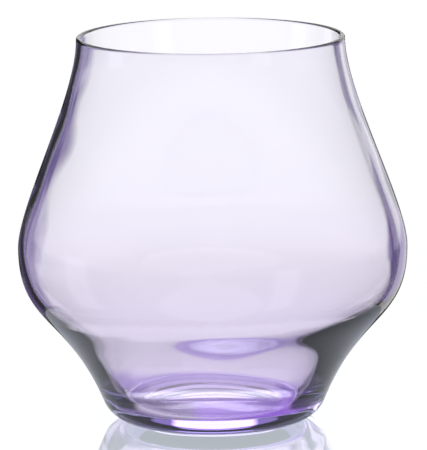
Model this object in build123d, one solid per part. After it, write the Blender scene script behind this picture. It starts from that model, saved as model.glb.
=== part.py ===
"""Stemless wine glass: a blown bowl standing on a solid foot, both turned about the Z axis.

The two pieces meet on a level plane, where the hot glass of the foot is welded under the bowl.
Lengths are in millimetres. The origin is the middle of the standing plane, with Z up.
"""
import os
from math import asin, cos, degrees, radians, sin

from build123d import *

# Outside of the glass
glass_height = 99.3
rim_radius = 34.3
belly_radius = 50.0
belly_height = 44.8
ring_radius = 21.2
foot_corner_radius = 8.0
foot_lean = 22.5

# How far the outside keeps its direction at the rim, above and below the belly, and at the foot
neck_run = 14.4
shoulder_run = 10.7
hip_run = 18.8
foot_run = 26.3

# Inside of the bowl
rim_wall = 1.3
belly_wall = 1.65
heel_wall = 0.75
heel_rise = 8.2
heel_lean = 31.4
floor_radius = 21.7
floor_thickness = 1.45
floor_dome = 0.8

# How far the inside keeps its direction below the belly, on both sides of the heel, and at the floor's edge
inner_hip_run = 17.0
heel_run = 20.8
heel_turn_run = 7.0
floor_turn_run = 1.4

# Foot, and the hollow under it inside the ring that it stands on
foot_height = 3.6
ring_width = 3.0
push_up_depth = 2.0

# Places that follow from those sizes
corner_middle = Vector(ring_radius, foot_corner_radius)
weld_angle = degrees(asin(foot_height / foot_corner_radius - 1))
weld = corner_middle + Vector(cos(radians(weld_angle)), sin(radians(weld_angle))) * foot_corner_radius
corner_end = corner_middle + Vector(cos(radians(foot_lean)), -sin(radians(foot_lean))) * foot_corner_radius
floor_height = foot_height + floor_thickness
lip_height = glass_height - rim_wall / 2


def leaning(lean, length):
    """A step upwards along a wall that leans outwards by an angle from the vertical."""
    return Vector(sin(radians(lean)), cos(radians(lean))) * length


def bowl_section():
    """Half section of the bowl: outside from the weld to the lip, inside from the lip to the floor."""
    belly = Vector(belly_radius, belly_height)
    outer_lip = Vector(rim_radius, lip_height)
    lip_top = Vector(rim_radius - rim_wall / 2, glass_height)
    inner_lip = Vector(rim_radius - rim_wall, lip_height)
    inner_belly = Vector(belly_radius - belly_wall, belly_height)
    heel = Vector(corner_end.X - heel_wall, floor_height + heel_rise)
    floor_edge = Vector(floor_radius, floor_height)
    floor = Vector(0, floor_height + floor_dome)
    floor_run = Vector(floor_radius / 3, 0)
    with BuildSketch(Plane.XZ) as section:
        with BuildLine():
            CenterArc(corner_middle, foot_corner_radius, weld_angle, -foot_lean - weld_angle)
            Bezier(corner_end, corner_end + leaning(foot_lean, foot_run), belly - (0, hip_run), belly)
            Bezier(belly, belly + (0, shoulder_run), outer_lip - (0, neck_run), outer_lip)
            ThreePointArc(outer_lip, lip_top, inner_lip)
            Bezier(inner_lip, inner_lip - (0, neck_run), inner_belly + (0, shoulder_run), inner_belly)
            Bezier(inner_belly, inner_belly - (0, inner_hip_run), heel + leaning(heel_lean, heel_run), heel)
            Bezier(heel, heel - leaning(heel_lean, heel_turn_run), floor_edge + (floor_turn_run, 0), floor_edge)
            Bezier(floor_edge, floor_edge - floor_run, floor + floor_run, floor)
            Polyline(floor, (0, foot_height), weld)
        make_face()
    return section.sketch


def foot_section():
    """Half section of the foot: rounded corner outside, standing ring, and the push-up under it."""
    push_up_radius = ring_radius - ring_width
    with BuildSketch(Plane.XZ) as section:
        with BuildLine():
            CenterArc(corner_middle, foot_corner_radius, -90, weld_angle + 90)
            Polyline(weld, (0, foot_height), (0, push_up_depth))
            Bezier((0, push_up_depth), (push_up_radius / 2, push_up_depth), (push_up_radius, 0))
            Line((push_up_radius, 0), (ring_radius, 0))
        make_face()
    return section.sketch


os.makedirs("parts", exist_ok=True)
export_step(revolve(bowl_section(), Axis.Z), "parts/bowl.step")
export_step(revolve(foot_section(), Axis.Z), "parts/foot.step")
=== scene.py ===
"""Stemless wine glass of pale lilac blown glass, standing on a glossy white table.

The glass is one closed surface turned about Z. Its outside is the same all round. Its inside is not quite:
the blown wall is thinner on one side, as the lower wall of a hand-finished glass is.
Lengths are in metres, with the origin in the middle of the standing plane.
"""
from math import comb, cos, pi, radians, sin

import bpy
import numpy as np
from bpy.props import FloatProperty, FloatVectorProperty, IntProperty, PointerProperty
from mathutils import Matrix, Vector


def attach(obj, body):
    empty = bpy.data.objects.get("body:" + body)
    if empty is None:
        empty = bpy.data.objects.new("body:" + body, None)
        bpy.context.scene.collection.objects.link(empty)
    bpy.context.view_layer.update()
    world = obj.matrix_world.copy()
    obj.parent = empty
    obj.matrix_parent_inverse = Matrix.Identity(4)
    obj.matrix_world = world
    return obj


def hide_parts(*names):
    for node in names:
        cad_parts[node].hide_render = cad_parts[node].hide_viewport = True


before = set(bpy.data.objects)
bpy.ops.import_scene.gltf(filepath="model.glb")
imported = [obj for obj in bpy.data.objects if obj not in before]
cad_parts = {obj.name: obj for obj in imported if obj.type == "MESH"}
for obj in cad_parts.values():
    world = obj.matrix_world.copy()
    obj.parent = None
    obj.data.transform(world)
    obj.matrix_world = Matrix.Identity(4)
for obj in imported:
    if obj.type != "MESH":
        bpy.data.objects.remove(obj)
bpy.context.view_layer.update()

bl_info = {
    "name": "Stemless Wine Glass",
    "version": (1, 0, 0),
    "blender": (4, 2, 0),
    "location": "View3D > Sidebar > Glass",
    "description": "Makes a stemless wine glass of lilac glass and the white table that it stands on",
    "category": "Add Mesh",
}

MILLIMETRE = 0.001
TURN_RADIANS = 2 * pi
TURN_DEGREES = 360
LENGTH_DIGITS = 5
PICTURE_HEIGHT = 450
TABLE_SEGMENTS = 128

# Uneven wall: the power that keeps the thin part to its side, and the waves that blowing leaves inside.
# A wave has whole turns round the axis, radians per millimetre of height, a start in radians and a share.
# They lie between two heights, and fade at both over a distance, all in millimetres.
THIN_POWER = 2.9
WAVES = ((3, 0.11, 0.4, 1.0), (5, -0.18, 2.1, 0.7), (8, 0.32, 4.0, 0.6))
WAVES_BOTTOM = 14
WAVES_TOP = 95
WAVES_FADE = 12

# From here on, a pair of numbers is the start and the end of a smooth step, and lengths are in metres

# Surface of the glass: its colour low down and high up, the heights between which it changes, and the small
# unevenness of the fire polish
LOW_TINT = (0.955, 0.925, 0.988)
HIGH_TINT = (0.965, 0.964, 0.986)
TINT_CHANGE = (0.025, 0.065)
UNEVEN_SCALE = 55.0
UNEVEN_DETAIL = 1.0
UNEVEN_STRENGTH = 0.5
UNEVEN_DEPTH = 0.00002

# Counts of a ray's steps, placed between whole numbers: mirrored at least once, and refracted at least four
# times, which takes two walls
MIRRORED_ONCE = 0.5
THROUGH_TWO_WALLS = 3.5

# Light of the table: its level far from the glass, its colour as seen directly and as the glass mirrors it,
# its level through the glass, and the fall with distance for rays that the hollow of the bowl mirrors
TABLE_FAR_GLOW = 0.84
TABLE_COOL = (1.0, 1.08, 1.18)
TABLE_MIRRORED = (0.46, 0.50, 0.60)
TABLE_REFRACTED = 0.95
HOLLOW_FADE = (0.030, 0.082)
HOLLOW_LEVEL = 0.1

# Polish of the table, which is full near the glass
POLISH_FADE = (0.042, 0.08)
POLISH_GAIN = 1.85
POLISH_LIMIT = 0.9
POLISH_ROUGHNESS = 0.03
POLISH_IOR = 1.5

# Painted darkness on the table, seen only through the glass, where it paints the dark flanks of the glass:
# a part of a ring at each side of the foot, by azimuth in degrees and by distance from the axis, and
# everything farther out
PAINTED_DARK_FROM = (64, 72)
PAINTED_DARK_TO = (116, 126)
PAINTED_DARK_INSIDE = (0.0245, 0.0265)
PAINTED_DARK_OUTSIDE = (0.034, 0.038)
FAR_PAINTED_DARK_INSIDE = (0.048, 0.056)
PAINTED_DARK_SHARE = 0.9

# Painted shade under the foot, tinted lilac as by light through the glass and seen only through it: an oval
# with its edge, middle, tilt and squeeze, and three colours with the places where they change
OVAL_EDGE = (0.0225, 0.0295)
OVAL_MIDDLE = 0.003
OVAL_TILT = 0.1
OVAL_SQUEEZE = 0.75
LEFT_TO_RIGHT = (-0.0075, -0.002)
FRONT_TO_BACK = (0.0, 0.018)
UNDER_LEFT = (0.13, 0.07, 0.22)
UNDER_RIGHT = (0.31, 0.07, 0.72)
UNDER_BACK = (0.50, 0.37, 0.80)

# Levels and colours of the studio, where 1 is white
BLACK = 0.03
DARK = 0.05
DIM = 0.1
MIDDLE_GREY = 0.6
PALE = 0.8
PALE_CARD = 0.85
CEILING = 0.9
WHITE = 1.0
WINDOW = 1.1
SOFTBOX = (3.5, 3.85, 3.5)
SECOND_SOFTBOX = (2.4, 2.6, 2.4)
LILAC_CARD = (0.23, 0.185, 0.41)
VIOLET_CARD = (0.23, 0.155, 0.41)
BLUE_CARD = (0.52, 0.59, 0.68)
SIDE_GREY = (0.24, 0.23, 0.26)


def window_at(azimuth):
    """Stops of a window at an azimuth, between lilac cards with dark edges, the same to both sides."""
    half = ((8, WINDOW), (9, LILAC_CARD), (15, LILAC_CARD), (16, DARK))
    left = [(azimuth - offset, level) for offset, level in reversed(half)]
    return left + [(azimuth + offset, level) for offset, level in half]


def panel_behind(level, beside):
    """Stops of a panel straight behind the glass and of the level beside it."""
    return [(-180, beside), (-16, beside), (-15, level), (15, level), (16, beside), (180, beside)]


# Directions from the glass are azimuths and elevations in degrees. Azimuth 0 is straight behind it and
# elevation 0 is level. A stop is an azimuth with a grey or a colour.

# Window behind the glass between cards, and its lower part, which is a little shaded at the bottom
WINDOW_STOPS = [
    (-180, BLACK), (-15.5, BLACK), (-14.5, LILAC_CARD), (-7.3, LILAC_CARD), (-6.7, WINDOW), (9.5, WINDOW),
    (10.1, LILAC_CARD), (19, LILAC_CARD), (20, PALE_CARD), (40, PALE_CARD), (44, DARK), (180, BLACK)]
LOW_WINDOW_STOPS = [
    (-180, BLACK), (-17.5, BLACK), (-16, VIOLET_CARD), (-7.3, VIOLET_CARD), (-6.7, WINDOW), (8.6, WINDOW),
    (9.2, VIOLET_CARD), (30, VIOLET_CARD), (34, DARK), (180, BLACK)]
LOW_WINDOW_TOP = (-8.5, -6)
LOW_SHADE_TOP = (-14, -10.5)
LOW_SHADE = 0.9

# Windows at the left, behind on the left and in front on the right, with grey between them, and the steps
# where these surroundings begin and end
SIDE_STOPS = [
    (-180, SIDE_GREY), (-112, SIDE_GREY), (-108, DARK), *window_at(-90), *window_at(-45), (41, BLACK),
    (46, SIDE_GREY), (113, SIDE_GREY), (117, DARK), *window_at(135), (157, SIDE_GREY)]
SIDES_LEFT = (-29, -28)
SIDES_RIGHT = (41, 42)
SIDES_TOP = (1.5, 4)

# Two softboxes over the window, one above the other, and a pale panel in the gap and on top
SOFTBOX_STOPS = [
    (-180, BLACK), (-26, BLACK), (-25, MIDDLE_GREY), (-16, MIDDLE_GREY), (-15, SOFTBOX), (15, SOFTBOX),
    (16, MIDDLE_GREY), (25, MIDDLE_GREY), (26, BLACK), (180, BLACK)]
SOFTBOX_BOTTOM = (4, 9)
SOFTBOX_TOP = (13.5, 16.5)
SECOND_STOPS = panel_behind(SECOND_SOFTBOX, BLACK)
SECOND_BOTTOM = (23, 26)
SECOND_TOP = (40, 44)
OVERHEAD_STOPS = panel_behind(PALE, DARK)

# What the outside of the glass and the table mirror: cards up to table level, two dark flags, and a ceiling.
# A flag reaches from its first step to its second.
MIRROR_STOPS = [
    (-180, BLUE_CARD), (-60, BLUE_CARD), (-54, DARK), (12, DARK), (15, WHITE), (34, WHITE), (37, DIM),
    (48, DIM), (52, PALE), (180, BLUE_CARD)]
MIRROR_CARDS_TOP = (-1, 2)
LEFT_FLAG = ((-47, -43), (-12, -8))
RIGHT_FLAG = ((35, 38), (46, 50))
FLAGS_TOP = (12, 20)
CEILING_BOTTOM = (45, 60)


def length(name, description, millimetres):
    """A length that a user can change, given in millimetres and kept in metres."""
    metres = millimetres * MILLIMETRE
    return FloatProperty(
        name=name, description=description, default=metres, unit="LENGTH", precision=LENGTH_DIGITS)


def angle(name, description, degrees):
    """An angle that a user can change, given in degrees and kept in radians."""
    return FloatProperty(name=name, description=description, default=radians(degrees), subtype="ANGLE")


def length_pair(name, description, thin, thick):
    """A length on the thin side of the wall and on the thick side."""
    metres = (thin * MILLIMETRE, thick * MILLIMETRE)
    return FloatVectorProperty(
        name=name, description=description, default=metres, size=2, unit="LENGTH", precision=LENGTH_DIGITS)


def angle_pair(name, description, thin, thick):
    """An angle on the thin side of the wall and on the thick side."""
    values = (radians(thin), radians(thick))
    return FloatVectorProperty(name=name, description=description, default=values, size=2, unit="ROTATION")


def colour(name, description, value):
    """A colour that a user can change."""
    return FloatVectorProperty(
        name=name, description=description, default=value, size=3, subtype="COLOR", min=0, max=1)


class GlassShape(bpy.types.PropertyGroup):
    """Sizes of the glass. A pair is for the thin side of the wall and for the thick side."""
    glass_height: length("Height", "From the table to the top of the lip", 99.3)
    rim_radius: length("Rim radius", "Outside radius at the lip", 34.3)
    belly_radius: length("Belly radius", "Largest outside radius", 50.0)
    belly_height: length("Belly height", "Height of the largest radius", 44.8)
    ring_radius: length("Ring radius", "Outer radius of the ring that it stands on", 21.2)
    ring_width: length("Ring width", "Width of the ring that it stands on", 3.0)
    push_up_depth: length("Push-up depth", "Depth of the hollow under the foot", 2.0)
    foot_corner_radius: length("Foot corner radius", "Radius of the rounded edge of the foot", 8.0)
    foot_lean: angle("Foot lean", "Lean of the wall above the rounded edge", 22.5)
    neck_run: length("Neck run", "How far the wall keeps its direction at the rim", 14.4)
    shoulder_run: length("Shoulder run", "How far the wall keeps its direction above the belly", 10.7)
    hip_run: length("Hip run", "How far the outside keeps its direction below the belly", 18.8)
    foot_run: length("Foot run", "How far the outside keeps its direction above the foot", 26.3)
    rim_wall: length("Rim wall", "Thickness of the rounded lip", 1.3)
    belly_wall: length_pair("Belly wall", "Thickness at the belly", 1.5, 1.65)
    heel_wall: length("Heel wall", "How far the heel lies inside the rounded edge of the foot", 0.75)
    heel_height: length_pair("Heel height", "Height where the inside turns in to the floor", 11.4, 13.25)
    heel_lean: angle_pair("Heel lean", "Lean of the inside at the heel", 31.2, 31.4)
    inner_hip_run: length_pair(
        "Inner hip run", "How far the inside keeps its direction below the belly", 16.8, 17.0)
    heel_run: length_pair("Heel run", "How far the inside keeps its direction above the heel", 20.7, 20.8)
    heel_turn_run: length_pair(
        "Heel turn run", "How far the inside keeps its direction below the heel", 6.1, 7.0)
    floor_radius: length("Floor radius", "Radius of the floor inside, up to its rounded edge", 21.7)
    floor_turn_run: length("Floor turn run", "How far the rounded edge keeps level from the floor", 1.4)
    floor_height: length("Floor height", "Height of the floor inside, at its edge", 5.05)
    floor_dome: length("Floor dome", "How far the middle of the floor lies above its edge", 0.8)
    ripple: length("Ripple", "Height of the faint waves that blowing leaves on the inside", 0.03)
    segments: IntProperty(name="Segments", description="Facets round the axis", default=192, min=24)
    curve_points: IntProperty(
        name="Curve points", description="Points along each long curve", default=80, min=8)


class GlassTint(bpy.types.PropertyGroup):
    """Colour that the glass has in its depth."""
    tint: colour("Tint", "Colour that passes through thick glass", (0.31, 0.0, 0.92))
    tint_density: FloatProperty(name="Tint density", description="Absorption per metre", default=22.0, min=0)
    ior: FloatProperty(name="Refractive index", description="Of the glass", default=1.5, min=1)


class StageSettings(bpy.types.PropertyGroup):
    """Table and camera."""
    table_radius: length("Table radius", "Radius of the round table top", 82.0)
    table_glow: FloatProperty(
        name="Table glow", description="Light from under the white table top", default=0.9, min=0)
    table_grey: FloatProperty(
        name="Table grey", description="Share of light that the table scatters", default=0.2, min=0, max=1)
    aim_height: length("Aim height", "Height on the axis that the camera is turned about", 46.0)
    camera_distance: length("Camera distance", "From the aim to the camera", 1200.0)
    camera_elevation: angle("Camera elevation", "Of the camera above the aim", 10.43)
    camera_roll: angle("Camera roll", "Turn about the line of sight", 0.636)
    camera_pan: angle("Camera pan", "Turn from the aim to the right", 0.0102)
    camera_tilt: angle("Camera tilt", "Turn from the aim upwards", 0.1953)
    focal_pixels: FloatProperty(name="Focal length", description="In pixels of the picture", default=4671.0)


def place(radius, height, angles):
    """A point of the profile at each angle, as an array of radius and height by angles."""
    return np.stack(np.broadcast_arrays(radius, height, angles)[:2])


def leaning(lean, run, angles):
    """A step upwards along a wall that leans outwards by an angle from the vertical."""
    return place(run * np.sin(lean), run * np.cos(lean), angles)


def bezier(points, count):
    """Bezier curve: the sum of its points, each times its Bernstein weight at equal steps.

    The first point is left out, because the curve before it ends there."""
    share = np.linspace(0, 1, count)[1:]
    degree = len(points) - 1
    weights = [comb(degree, k) * share**k * (1 - share) ** (degree - k) for k in range(degree + 1)]
    return np.tensordot(np.stack(weights, -1), np.stack(points), axes=(1, 0))


def arc(middle_radius, middle_height, size, start, end, count, angles):
    """Part of a circle in the profile: its middle, plus its size times cosine and sine of equal angle steps.

    The first point is left out, as in a Bezier curve."""
    turn = np.linspace(start, end, count)[1:]
    points = np.stack([middle_radius + size * np.cos(turn), middle_height + size * np.sin(turn)], -1)
    return np.repeat(points[:, :, None], len(angles), axis=2)


def glass_profile(size, angles):
    """Profile of the glass at each angle, as rows by radius and height by angles.

    Rows go from the middle of the push-up out to the ring, up the outside, over the lip, and down the inside
    to the middle of the floor. Sizes given as a pair are mixed by the share of the thin side, which is half
    of one minus the cosine of the angle, raised to a power: 1 at -X and 0 at +X.
    """
    thin_share = ((1 - np.cos(angles)) / 2) ** THIN_POWER

    def wall(pair):
        return pair[0] * thin_share + pair[1] * (1 - thin_share)

    def spot(radius, height):
        return place(radius, height, angles)

    corner = size.foot_corner_radius
    corner_end = spot(size.ring_radius + corner * cos(size.foot_lean), corner * (1 - sin(size.foot_lean)))
    belly = spot(size.belly_radius, size.belly_height)
    lip_height = size.glass_height - size.rim_wall / 2
    lip_middle = size.rim_radius - size.rim_wall / 2
    outer_lip = spot(size.rim_radius, lip_height)
    inner_lip = spot(size.rim_radius - size.rim_wall, lip_height)
    inner_belly = spot(size.belly_radius - wall(size.belly_wall), size.belly_height)
    heel = spot(corner_end[0] - size.heel_wall, wall(size.heel_height))
    floor_edge = spot(size.floor_radius, size.floor_height)
    floor = spot(0.0, size.floor_height + size.floor_dome)
    push_up_radius = size.ring_radius - size.ring_width
    ring = spot(push_up_radius, 0.0)
    push_up = spot(0.0, size.push_up_depth)
    push_up_side = spot(push_up_radius / 2, size.push_up_depth)

    above_foot = corner_end + leaning(size.foot_lean, size.foot_run, angles)
    below_belly = belly - spot(0.0, size.hip_run)
    above_heel = heel + leaning(wall(size.heel_lean), wall(size.heel_run), angles)
    below_heel = heel - leaning(wall(size.heel_lean), wall(size.heel_turn_run), angles)
    below_inner_belly = inner_belly - spot(0.0, wall(size.inner_hip_run))
    floor_turn = floor_edge + spot(size.floor_turn_run, 0.0)
    floor_run = spot(size.floor_radius / 3, 0.0)
    neck = spot(0.0, size.neck_run)
    shoulder = spot(0.0, size.shoulder_run)

    many = size.curve_points
    outside = [
        push_up[None],
        bezier([push_up, push_up_side, ring], many // 3),
        spot(size.ring_radius, 0.0)[None],
        arc(size.ring_radius, corner, corner, -pi / 2, -size.foot_lean, many // 3, angles),
        bezier([corner_end, above_foot, below_belly, belly], many),
        bezier([belly, belly + shoulder, outer_lip - neck, outer_lip], many),
        arc(lip_middle, lip_height, size.rim_wall / 2, 0, pi, many // 4, angles),
    ]
    inside = np.concatenate([
        bezier([inner_lip, inner_lip - neck, inner_belly + shoulder, inner_belly], many),
        bezier([inner_belly, below_inner_belly, above_heel, heel], many),
        bezier([heel, below_heel, floor_turn, floor_edge], many // 2),
        bezier([floor_edge, floor_edge - floor_run, floor + floor_run, floor], many // 2),
    ])
    inside[:, 0] += size.ripple * waves(inside[:, 1] / MILLIMETRE, angles)
    return np.concatenate([*outside, inside])


def waves(height, angles):
    """Waves of the blown wall by height in millimetres and angle: a sum of sines, each times its share.

    They fade to nothing at the lip and at the heel."""
    total = 0.0
    for turns, climb, start, share in WAVES:
        total = total + share * np.sin(turns * angles + climb * height + start)
    above = np.clip((height - WAVES_BOTTOM) / WAVES_FADE, 0, 1)
    below = np.clip((WAVES_TOP - height) / WAVES_FADE, 0, 1)
    return total * above * below


def turned_mesh(name, profile, angles):
    """Closed mesh of a profile turned about Z: x is the radius times the cosine of the angle, y the radius
    times its sine, and z the height.

    The first and last rows lie on the axis, and each becomes one point with a fan of triangles."""
    rows, segments = len(profile) - 2, len(angles)
    radius, height = profile[1:-1, 0], profile[1:-1, 1]
    rings = np.stack([radius * np.cos(angles), radius * np.sin(angles), height], -1).reshape(-1, 3)
    poles = [[0, 0, profile[0, 1, 0]], [0, 0, profile[-1, 1, 0]]]
    row, here = np.meshgrid(np.arange(rows - 1) * segments, np.arange(segments), indexing="ij")
    after = (here + 1) % segments
    next_row = row + segments
    quads = np.stack([row + here, row + after, next_row + after, next_row + here], -1).reshape(-1, 4)
    first = np.arange(segments)
    second = (first + 1) % segments
    under = np.stack([np.full(segments, len(rings)), second, first], -1)
    last_row = (rows - 1) * segments
    over = np.stack([np.full(segments, len(rings) + 1), last_row + first, last_row + second], -1)
    points = np.concatenate([rings, poles])
    mesh = bpy.data.meshes.new(name)
    mesh.from_pydata(points.tolist(), [], quads.tolist() + under.tolist() + over.tolist())
    mesh.update()
    mesh.shade_smooth()
    return mesh


def round_top(name, radius):
    """Flat round face at table level: points at the radius times cosine and sine of equal steps of angle."""
    angles = np.linspace(0, TURN_RADIANS, TABLE_SEGMENTS, endpoint=False)
    edge = radius * np.stack([np.cos(angles), np.sin(angles), np.zeros_like(angles)], -1)
    mesh = bpy.data.meshes.new(name)
    mesh.from_pydata(edge.tolist(), [], [list(range(TABLE_SEGMENTS))])
    return mesh


def add_object(name, data):
    """A new object at the origin."""
    made = bpy.data.objects.new(name, data)
    bpy.context.scene.collection.objects.link(made)
    return made


def opaque(value):
    """Four channels of a grey or of a colour."""
    return (value, value, value, 1) if isinstance(value, (int, float)) else (*value, 1)


def wire(tree, socket, value):
    """Links a socket to another one, or gives it a number, a grey or a colour."""
    if isinstance(value, bpy.types.NodeSocket):
        tree.links.new(value, socket)
    elif socket.type == "RGBA":
        socket.default_value = opaque(value)
    else:
        socket.default_value = value


def new_tree(owner):
    """An empty node tree of a material or of the world."""
    owner.use_nodes = True
    owner.node_tree.nodes.clear()
    return owner.node_tree


def calculate(tree, operation, *values):
    """Result of a Math node."""
    made = tree.nodes.new("ShaderNodeMath")
    made.operation = operation
    for socket, value in zip(made.inputs, values):
        wire(tree, socket, value)
    return made.outputs[0]


def product(tree, first, *others):
    """Product of all values."""
    result = first
    for value in others:
        result = calculate(tree, "MULTIPLY", result, value)
    return result


def remainder(tree, share):
    """What a share leaves of one."""
    return calculate(tree, "SUBTRACT", 1.0, share)


def lowered(tree, share, level):
    """1 where the share is 0, and the level where it is 1."""
    return calculate(tree, "MULTIPLY_ADD", share, level - 1.0, 1.0)


def distance(tree, x, y):
    """Square root of the sum of two squares."""
    return calculate(tree, "SQRT", calculate(tree, "ADD", product(tree, x, x), product(tree, y, y)))


def smooth_step(tree, value, step):
    """0 before the start of a step and 1 after its end, with a smooth change between them."""
    made = tree.nodes.new("ShaderNodeMapRange")
    made.interpolation_type = "SMOOTHSTEP"
    wire(tree, made.inputs["Value"], value)
    made.inputs["From Min"].default_value, made.inputs["From Max"].default_value = step
    return made.outputs["Result"]


def between(tree, value, first, second):
    """1 after the first step and before the second, and 0 elsewhere."""
    return calculate(tree, "SUBTRACT", smooth_step(tree, value, first), smooth_step(tree, value, second))


def mix_colours(tree, share, first, second):
    """First colour where the share is 0, second where it is 1."""
    made = tree.nodes.new("ShaderNodeMix")
    made.data_type = "RGBA"
    wire(tree, made.inputs[0], share)
    wire(tree, made.inputs[6], first)
    wire(tree, made.inputs[7], second)
    return made.outputs[2]


def coordinates(tree, kind):
    """X, Y and Z of a kind of texture coordinates."""
    where = tree.nodes.new("ShaderNodeTexCoord")
    parts = tree.nodes.new("ShaderNodeSeparateXYZ")
    wire(tree, parts.inputs[0], where.outputs[kind])
    return parts.outputs


def azimuth_of(tree, x, y):
    """Azimuth in degrees: the arc tangent of x over y, 0 straight behind the glass and 90 at its right."""
    return calculate(tree, "DEGREES", calculate(tree, "ARCTAN2", x, y))


def round_ramp(tree, azimuth, stops):
    """Colour by azimuth: stops of an angle in degrees from -180 to 180 and a grey or a colour."""
    made = tree.nodes.new("ShaderNodeValToRGB")
    wire(tree, made.inputs[0], calculate(tree, "MULTIPLY_ADD", azimuth, 1 / TURN_DEGREES, 0.5))
    elements = made.color_ramp.elements
    elements.remove(elements[1])
    for index, (degrees, value) in enumerate(stops):
        position = degrees / TURN_DEGREES + 0.5
        element = elements.new(position) if index else elements[0]
        element.position = position
        element.color = opaque(value)
    return made.outputs["Color"]


def reflected_only(tree, path):
    """1 for a ray whose last step was a reflection, because a refracted ray counts as glossy too."""
    return product(tree, path.outputs["Is Glossy Ray"], remainder(tree, path.outputs["Is Transmission Ray"]))


def mirrored_by_glass(tree, path):
    """Two shares of 0 or 1 for a refracted ray that was mirrored on its way: the first for a ray that went
    through two walls or more, the second for a ray that went through one wall and was mirrored inside it."""
    mirrored = calculate(tree, "GREATER_THAN", path.outputs["Glossy Depth"], MIRRORED_ONCE)
    mirrored = product(tree, mirrored, path.outputs["Is Transmission Ray"])
    two_walls = calculate(tree, "GREATER_THAN", path.outputs["Transmission Depth"], THROUGH_TWO_WALLS)
    in_hollow = product(tree, mirrored, two_walls)
    return in_hollow, calculate(tree, "SUBTRACT", mirrored, in_hollow)


def lilac_glass(settings):
    """Clear fire-polished glass: it bends light at its surface and takes out green and some red in its depth.

    The surface has a faint tint too, which is deeper low down, and a noise that makes its polish a little
    uneven."""
    material = bpy.data.materials.new("lilac_glass")
    tree = new_tree(material)
    height = coordinates(tree, "Object")["Z"]
    surface = tree.nodes.new("ShaderNodeBsdfPrincipled")
    higher = smooth_step(tree, height, TINT_CHANGE)
    wire(tree, surface.inputs["Base Color"], mix_colours(tree, higher, LOW_TINT, HIGH_TINT))
    surface.inputs["IOR"].default_value = settings.ior
    surface.inputs["Transmission Weight"].default_value = 1.0
    surface.inputs["Roughness"].default_value = 0.0
    where = tree.nodes.new("ShaderNodeTexCoord")
    noise = tree.nodes.new("ShaderNodeTexNoise")
    wire(tree, noise.inputs["Vector"], where.outputs["Object"])
    noise.inputs["Scale"].default_value = UNEVEN_SCALE
    noise.inputs["Detail"].default_value = UNEVEN_DETAIL
    uneven = tree.nodes.new("ShaderNodeBump")
    wire(tree, uneven.inputs["Height"], noise.outputs["Fac"])
    uneven.inputs["Strength"].default_value = UNEVEN_STRENGTH
    uneven.inputs["Distance"].default_value = UNEVEN_DEPTH
    wire(tree, surface.inputs["Normal"], uneven.outputs["Normal"])
    depth = tree.nodes.new("ShaderNodeVolumeAbsorption")
    depth.inputs["Color"].default_value = opaque(settings.tint)
    depth.inputs["Density"].default_value = settings.tint_density
    output = tree.nodes.new("ShaderNodeOutputMaterial")
    wire(tree, output.inputs["Surface"], surface.outputs[0])
    wire(tree, output.inputs["Volume"], depth.outputs[0])
    return material


def painted_dark_share(tree, x, y, straight, in_wall):
    """Share of painted darkness in what the glass shows of the table, which paints the dark flanks of the
    glass:
    two parts of a ring beside the foot for straight rays, and everything farther out for rays mirrored inside
    a wall."""
    away = distance(tree, x, y)
    turned = calculate(tree, "ABSOLUTE", azimuth_of(tree, x, y))
    beside = between(tree, turned, PAINTED_DARK_FROM, PAINTED_DARK_TO)
    ring = product(tree, straight, beside, between(tree, away, PAINTED_DARK_INSIDE, PAINTED_DARK_OUTSIDE))
    farther = product(tree, in_wall, smooth_step(tree, away, FAR_PAINTED_DARK_INSIDE))
    return product(tree, calculate(tree, "MAXIMUM", ring, farther), PAINTED_DARK_SHARE)


def painted_shade_under_foot(tree, x, y):
    """Painted shade of the table under the foot, tinted lilac as if only light that went through the glass
    arrived there, and its share: 1 within an oval and 0 outside it."""
    front = mix_colours(tree, smooth_step(tree, x, LEFT_TO_RIGHT), UNDER_LEFT, UNDER_RIGHT)
    lilac = mix_colours(tree, smooth_step(tree, y, FRONT_TO_BACK), front, UNDER_BACK)
    tilted = calculate(tree, "MULTIPLY_ADD", x, OVAL_TILT, y)
    behind = calculate(tree, "SUBTRACT", tilted, OVAL_MIDDLE)
    away = distance(tree, product(tree, x, OVAL_SQUEEZE), behind)
    return lilac, remainder(tree, smooth_step(tree, away, OVAL_EDGE))


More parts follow.
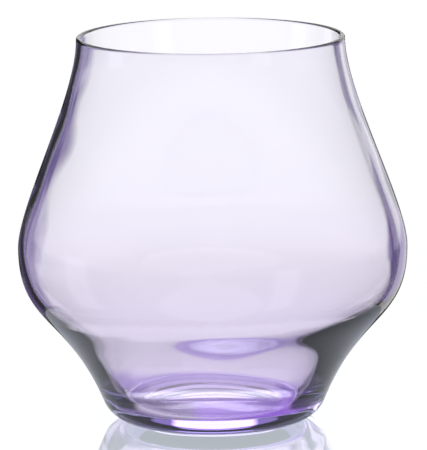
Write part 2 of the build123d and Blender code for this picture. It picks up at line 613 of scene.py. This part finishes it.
def white_gloss(settings):
    """White table top with light from under it and a polished face that mirrors more at a low angle.

    The polish fades out away from the glass. Seen directly, the table's light is a little cool, which shows
    only where the polish mirrors something dark. In the glass's reflections the table is blue-grey. Through
    the glass it has painted shade under the foot, tinted lilac as by light through the glass, and painted
    darkness at the sides of the foot and, for rays mirrored inside a wall, farther out, which paints the dark
    flanks of the glass. It also gets dimmer with distance for rays that the hollow of the bowl mirrored."""
    material = bpy.data.materials.new("white_gloss")
    tree = new_tree(material)
    path = tree.nodes.new("ShaderNodeLightPath")
    refracted = path.outputs["Is Transmission Ray"]
    in_hollow, in_wall = mirrored_by_glass(tree, path)
    straight = calculate(tree, "SUBTRACT", refracted, in_hollow)
    x, y, _ = coordinates(tree, "Object")
    away = distance(tree, x, y)
    near = remainder(tree, smooth_step(tree, away, POLISH_FADE))
    # Painted darkness, seen only through the glass, for the dark flanks of the glass: where it lies, the
    # glow, the scatter and the polish are taken away
    painted_dark = painted_dark_share(tree, x, y, straight, in_wall)
    clear_of_painted_dark = remainder(tree, painted_dark)

    # Painted shade under the foot, tinted lilac, seen only by straight rays through the glass
    lilac, painted_shade_share = painted_shade_under_foot(tree, x, y)
    shown = mix_colours(tree, product(tree, painted_shade_share, straight), WHITE, lilac)
    shown = mix_colours(tree, reflected_only(tree, path), shown, TABLE_MIRRORED)
    shown = mix_colours(tree, path.outputs["Is Camera Ray"], shown, TABLE_COOL)
    level = calculate(tree, "MULTIPLY_ADD", near, settings.table_glow - TABLE_FAR_GLOW, TABLE_FAR_GLOW)
    through_glass = lowered(tree, refracted, TABLE_REFRACTED)
    fall = product(tree, in_hollow, smooth_step(tree, away, HOLLOW_FADE))
    through_hollow = lowered(tree, fall, HOLLOW_LEVEL)
    glow = tree.nodes.new("ShaderNodeEmission")
    wire(tree, glow.inputs["Color"], shown)
    wire(tree, glow.inputs["Strength"], product(tree, level, through_glass, through_hollow, clear_of_painted_dark))

    scatter = tree.nodes.new("ShaderNodeBsdfDiffuse")
    # No scatter where the painted darkness lies
    wire(tree, scatter.inputs["Color"], mix_colours(tree, painted_dark, settings.table_grey, 0.0))
    body = tree.nodes.new("ShaderNodeAddShader")
    wire(tree, body.inputs[0], scatter.outputs[0])
    wire(tree, body.inputs[1], glow.outputs[0])
    polish = tree.nodes.new("ShaderNodeBsdfGlossy")
    polish.inputs["Color"].default_value = opaque(WHITE)
    polish.inputs["Roughness"].default_value = POLISH_ROUGHNESS
    fresnel = tree.nodes.new("ShaderNodeFresnel")
    fresnel.inputs["IOR"].default_value = POLISH_IOR
    mirror_share = product(tree, fresnel.outputs[0], near, POLISH_GAIN, clear_of_painted_dark)
    face = tree.nodes.new("ShaderNodeMixShader")
    wire(tree, face.inputs[0], calculate(tree, "MINIMUM", mirror_share, POLISH_LIMIT))
    wire(tree, face.inputs[1], body.outputs[0])
    wire(tree, face.inputs[2], polish.outputs[0])
    output = tree.nodes.new("ShaderNodeOutputMaterial")
    wire(tree, output.inputs["Surface"], face.outputs[0])
    return material


def studio_through_glass(tree, path, azimuth, elevation):
    """What a refracted ray sees of the studio: a window at table level between cards, windows of the same
    kind in other directions, softboxes and a pale panel over the window, and black elsewhere.

    The black draws the dark lines of the glass. A ray that the hollow of the bowl mirrored sees an even grey
    in place of the windows in other directions."""
    low_window = round_ramp(tree, azimuth, LOW_WINDOW_STOPS)
    window = round_ramp(tree, azimuth, WINDOW_STOPS)
    window = mix_colours(tree, smooth_step(tree, elevation, LOW_WINDOW_TOP), low_window, window)
    shaded = remainder(tree, smooth_step(tree, elevation, LOW_SHADE_TOP))
    window = mix_colours(tree, lowered(tree, shaded, LOW_SHADE), 0.0, window)

    in_hollow, _ = mirrored_by_glass(tree, path)
    sides = mix_colours(tree, in_hollow, round_ramp(tree, azimuth, SIDE_STOPS), SIDE_GREY)
    sides = mix_colours(tree, smooth_step(tree, elevation, SIDES_TOP), sides, BLACK)
    behind = between(tree, azimuth, SIDES_LEFT, SIDES_RIGHT)
    table_level = mix_colours(tree, behind, sides, window)

    softbox = round_ramp(tree, azimuth, SOFTBOX_STOPS)
    lower = mix_colours(tree, smooth_step(tree, elevation, SOFTBOX_BOTTOM), table_level, softbox)
    second_height = between(tree, elevation, SECOND_BOTTOM, SECOND_TOP)
    overhead = round_ramp(tree, azimuth, OVERHEAD_STOPS)
    upper = mix_colours(tree, second_height, overhead, round_ramp(tree, azimuth, SECOND_STOPS))
    return mix_colours(tree, smooth_step(tree, elevation, SOFTBOX_TOP), lower, upper)


def studio_mirrored(tree, azimuth, elevation):
    """What a reflected ray sees of the studio: cards up to table level, white above them with two dark flags,
    and a ceiling that is a little dimmer."""
    cards = round_ramp(tree, azimuth, MIRROR_STOPS)
    walls = mix_colours(tree, smooth_step(tree, elevation, MIRROR_CARDS_TOP), cards, WHITE)
    left_flag = between(tree, azimuth, *LEFT_FLAG)
    right_flag = between(tree, azimuth, *RIGHT_FLAG)
    flags_height = remainder(tree, smooth_step(tree, elevation, FLAGS_TOP))
    flags = product(tree, calculate(tree, "ADD", left_flag, right_flag), flags_height)
    walls = mix_colours(tree, flags, walls, DARK)
    return mix_colours(tree, smooth_step(tree, elevation, CEILING_BOTTOM), walls, CEILING)


def studio():
    """Studio round the glass: plain white where it is seen directly and where it lights the table, and other
    surroundings in reflections and through the glass. Elevation is the arc sine of z."""
    world = bpy.data.worlds.new("studio")
    tree = new_tree(world)
    path = tree.nodes.new("ShaderNodeLightPath")
    x, y, z = coordinates(tree, "Generated")
    azimuth = azimuth_of(tree, x, y)
    elevation = calculate(tree, "DEGREES", calculate(tree, "ARCSINE", z))
    mirrored = studio_mirrored(tree, azimuth, elevation)
    through = studio_through_glass(tree, path, azimuth, elevation)
    seen = mix_colours(tree, path.outputs["Is Glossy Ray"], WHITE, mirrored)
    seen = mix_colours(tree, path.outputs["Is Transmission Ray"], seen, through)
    light = tree.nodes.new("ShaderNodeBackground")
    wire(tree, light.inputs["Color"], seen)
    light.inputs["Strength"].default_value = 1.0
    output = tree.nodes.new("ShaderNodeOutputWorld")
    wire(tree, output.inputs["Surface"], light.outputs[0])
    return world


def photo_camera(settings):
    """Camera in front of the glass, looking along +Y and down, turned a little about its line of sight."""
    data = bpy.data.cameras.new("camera")
    data.lens = settings.focal_pixels / PICTURE_HEIGHT * data.sensor_width
    camera = add_object("camera", data)
    elevation, roll = settings.camera_elevation, settings.camera_roll
    aim = Vector((0, 0, settings.aim_height))
    position = aim + Vector((0, -cos(elevation), sin(elevation))) * settings.camera_distance
    forward = (aim - position).normalized()
    level = forward.cross(Vector((0, 0, 1))).normalized()
    upright = level.cross(forward)
    right = level * cos(roll) - upright * sin(roll)
    up = level * sin(roll) + upright * cos(roll)
    forward = (forward + right * settings.camera_pan + up * settings.camera_tilt).normalized()
    right = forward.cross(up).normalized()
    up = right.cross(forward)
    pose = Matrix((right, up, -forward)).transposed().to_4x4()
    pose.translation = position
    camera.matrix_world = pose
    return camera


class GLASS_OT_blow(bpy.types.Operator):
    """Make the wine glass, bowl and foot in one"""
    bl_idname = "glass.blow"
    bl_label = "Blow the Glass"

    def execute(self, context):
        shape = context.scene.glass_shape
        angles = np.linspace(0, TURN_RADIANS, shape.segments, endpoint=False)
        mesh = turned_mesh("wine_glass", glass_profile(shape, angles), angles)
        mesh.materials.append(lilac_glass(context.scene.glass_tint))
        glass = add_object("wine_glass", mesh)
        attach(glass, "root")
        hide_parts("bowl", "foot")
        return {"FINISHED"}


class GLASS_OT_stage(bpy.types.Operator):
    """Make the white table, the studio light and the camera"""
    bl_idname = "glass.stage"
    bl_label = "Set the Stage"

    def execute(self, context):
        settings = context.scene.glass_stage
        mesh = round_top("table", settings.table_radius)
        mesh.materials.append(white_gloss(settings))
        table = add_object("table", mesh)
        context.scene.world = studio()
        context.scene.camera = photo_camera(settings)
        context.scene.view_settings.view_transform = "Standard"
        return {"FINISHED"}


class GLASS_PT_sidebar(bpy.types.Panel):
    """Sizes of the glass and the buttons that make it"""
    bl_idname = "GLASS_PT_sidebar"
    bl_label = "Stemless Wine Glass"
    bl_space_type = "VIEW_3D"
    bl_region_type = "UI"
    bl_category = "Glass"

    def draw(self, context):
        for group_name, group_type in GROUPS.items():
            column = self.layout.column()
            for name in group_type.__annotations__:
                column.prop(getattr(context.scene, group_name), name)
        self.layout.operator("glass.blow")
        self.layout.operator("glass.stage")


GROUPS = {"glass_shape": GlassShape, "glass_tint": GlassTint, "glass_stage": StageSettings}
CLASSES = (*GROUPS.values(), GLASS_OT_blow, GLASS_OT_stage, GLASS_PT_sidebar)


def register():
    """Makes the classes known to Blender and gives every scene its settings."""
    for made in CLASSES:
        bpy.utils.register_class(made)
    for name, group in GROUPS.items():
        setattr(bpy.types.Scene, name, PointerProperty(type=group))


def unregister():
    """Takes back what register did."""
    for name in GROUPS:
        delattr(bpy.types.Scene, name)
    for made in reversed(CLASSES):
        bpy.utils.unregister_class(made)


def main():
    """Makes the glass and its stage."""
    register()
    bpy.ops.glass.blow()
    bpy.ops.glass.stage()


if __name__ == "__main__":
    main()
